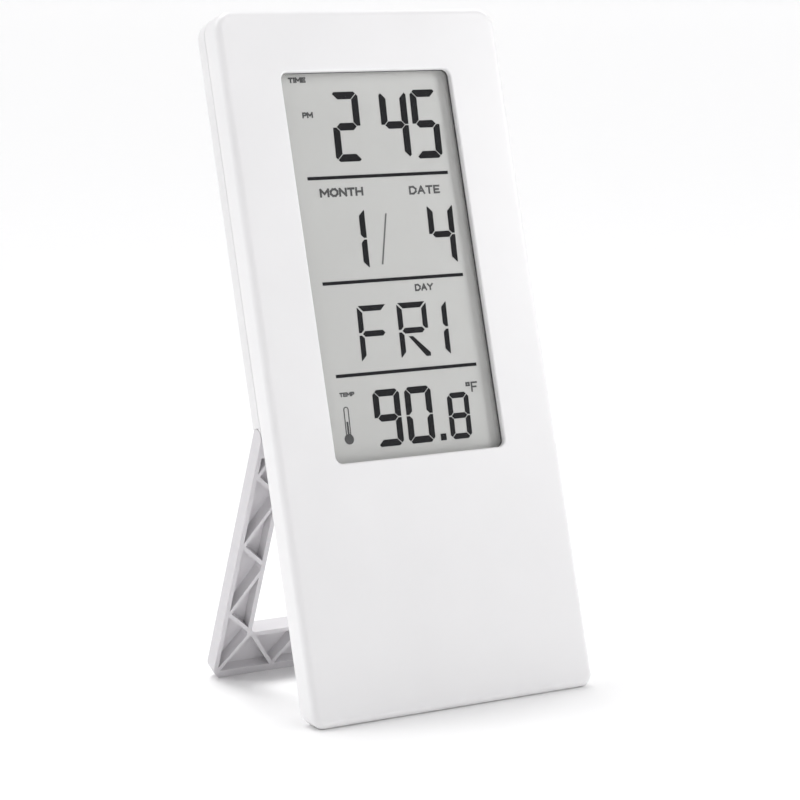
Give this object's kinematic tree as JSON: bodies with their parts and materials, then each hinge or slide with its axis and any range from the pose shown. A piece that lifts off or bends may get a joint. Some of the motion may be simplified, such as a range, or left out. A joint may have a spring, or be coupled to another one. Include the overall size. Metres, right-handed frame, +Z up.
{
  "type": "desk clock with fold-out stand",
  "caption": "Slim white liquid-crystal desk clock with calendar and thermometer bands, leaning back on a hinged, ribbed U-shaped stand that folds flat into its back.",
  "frame": {"origin": "middle of the space the clock takes up with its stand open, on the surface that it stands on", "axes": "+X to the right seen from the front, +Y to the back, +Z up; the front faces -Y and leans back 16.6 degrees"},
  "size_m": [0.08, 0.0608, 0.1682],
  "materials": {
    "case_white": "satin moulded white",
    "lens_clear": "clear moulded window",
    "display_glass": "thin polished glass",
    "polariser_grey": "grey film",
    "reflector_grey": "matt grey reflector",
    "frame_plastic": "natural moulded plastic",
    "zebra_rubber": "striped rubber",
    "foam_grey": "soft foam",
    "board_green": "solder mask",
    "epoxy_black": "glossy epoxy",
    "steel": "zinc-plated",
    "contact_nickel": "nickel-plated strip",
    "brass": "plain brass",
    "ceramic_white": "silvered ceramic",
    "cell_jacket": "printed sleeve, plain",
    "wire_red": "insulation",
    "wire_black": "insulation",
    "button_grey": "satin moulded white",
    "switch_black": "moulded switch body"
  },
  "bodies": {
    "case": {"front_shell": "case_white", "rear_shell": "case_white", "window_lens": "lens_clear", "lcd_front_polariser": "polariser_grey", "lcd_front_glass": "display_glass", "lcd_rear_glass": "display_glass", "lcd_reflector": "reflector_grey", "lcd_frame": "frame_plastic", "zebra_strip": "zebra_rubber", "foam_gasket": "foam_grey", "main_pcb": "board_green", "chip_blob": "epoxy_black", "quartz_crystal": "steel", "smd_parts": "switch_black", "tact_switches": "switch_black", "thermistor": "epoxy_black", "battery_cell_upper": "cell_jacket", "battery_cell_lower": "cell_jacket", "contact_link": "contact_nickel", "contact_positive": "contact_nickel", "contact_negative": "contact_nickel", "lead_positive": "wire_red", "lead_negative": "wire_black", "piezo_disc": "brass", "piezo_ceramic": "ceramic_white", "case_screws": "steel", "pcb_screws": "steel"},
    "stand": {"stand": "case_white"},
    "battery_door": {"battery_door": "case_white"},
    "set_button": {"set_button": "button_grey"},
    "up_button": {"up_button": "button_grey"},
    "down_button": {"down_button": "button_grey"},
    "unit_button": {"unit_button": "button_grey"}
  },
  "joints": [
    {"name": "stand_hinge", "type": "hinge", "parent": "case", "child": "stand", "pos_m": [0, -0.00133, 0.06627], "axis": [-1, 0, 0], "range_deg": [0, 39.8]},
    {"name": "battery_door_slide", "type": "slide", "parent": "case", "child": "battery_door", "axis": [0, 0.2857, 0.9583], "range_m": [0, 0.026]},
    {"name": "set_button_press", "type": "slide", "parent": "case", "child": "set_button", "axis": [0, -0.9583, 0.2857], "range_m": [0, 0.00035], "stiffness_N_per_m": 1500},
    {"name": "up_button_press", "type": "slide", "parent": "case", "child": "up_button", "axis": [0, -0.9583, 0.2857], "range_m": [0, 0.00035], "stiffness_N_per_m": 1500},
    {"name": "down_button_press", "type": "slide", "parent": "case", "child": "down_button", "axis": [0, -0.9583, 0.2857], "range_m": [0, 0.00035], "stiffness_N_per_m": 1500},
    {"name": "unit_button_press", "type": "slide", "parent": "case", "child": "unit_button", "axis": [0, -0.9583, 0.2857], "range_m": [0, 0.00035], "stiffness_N_per_m": 1500}
  ]
}
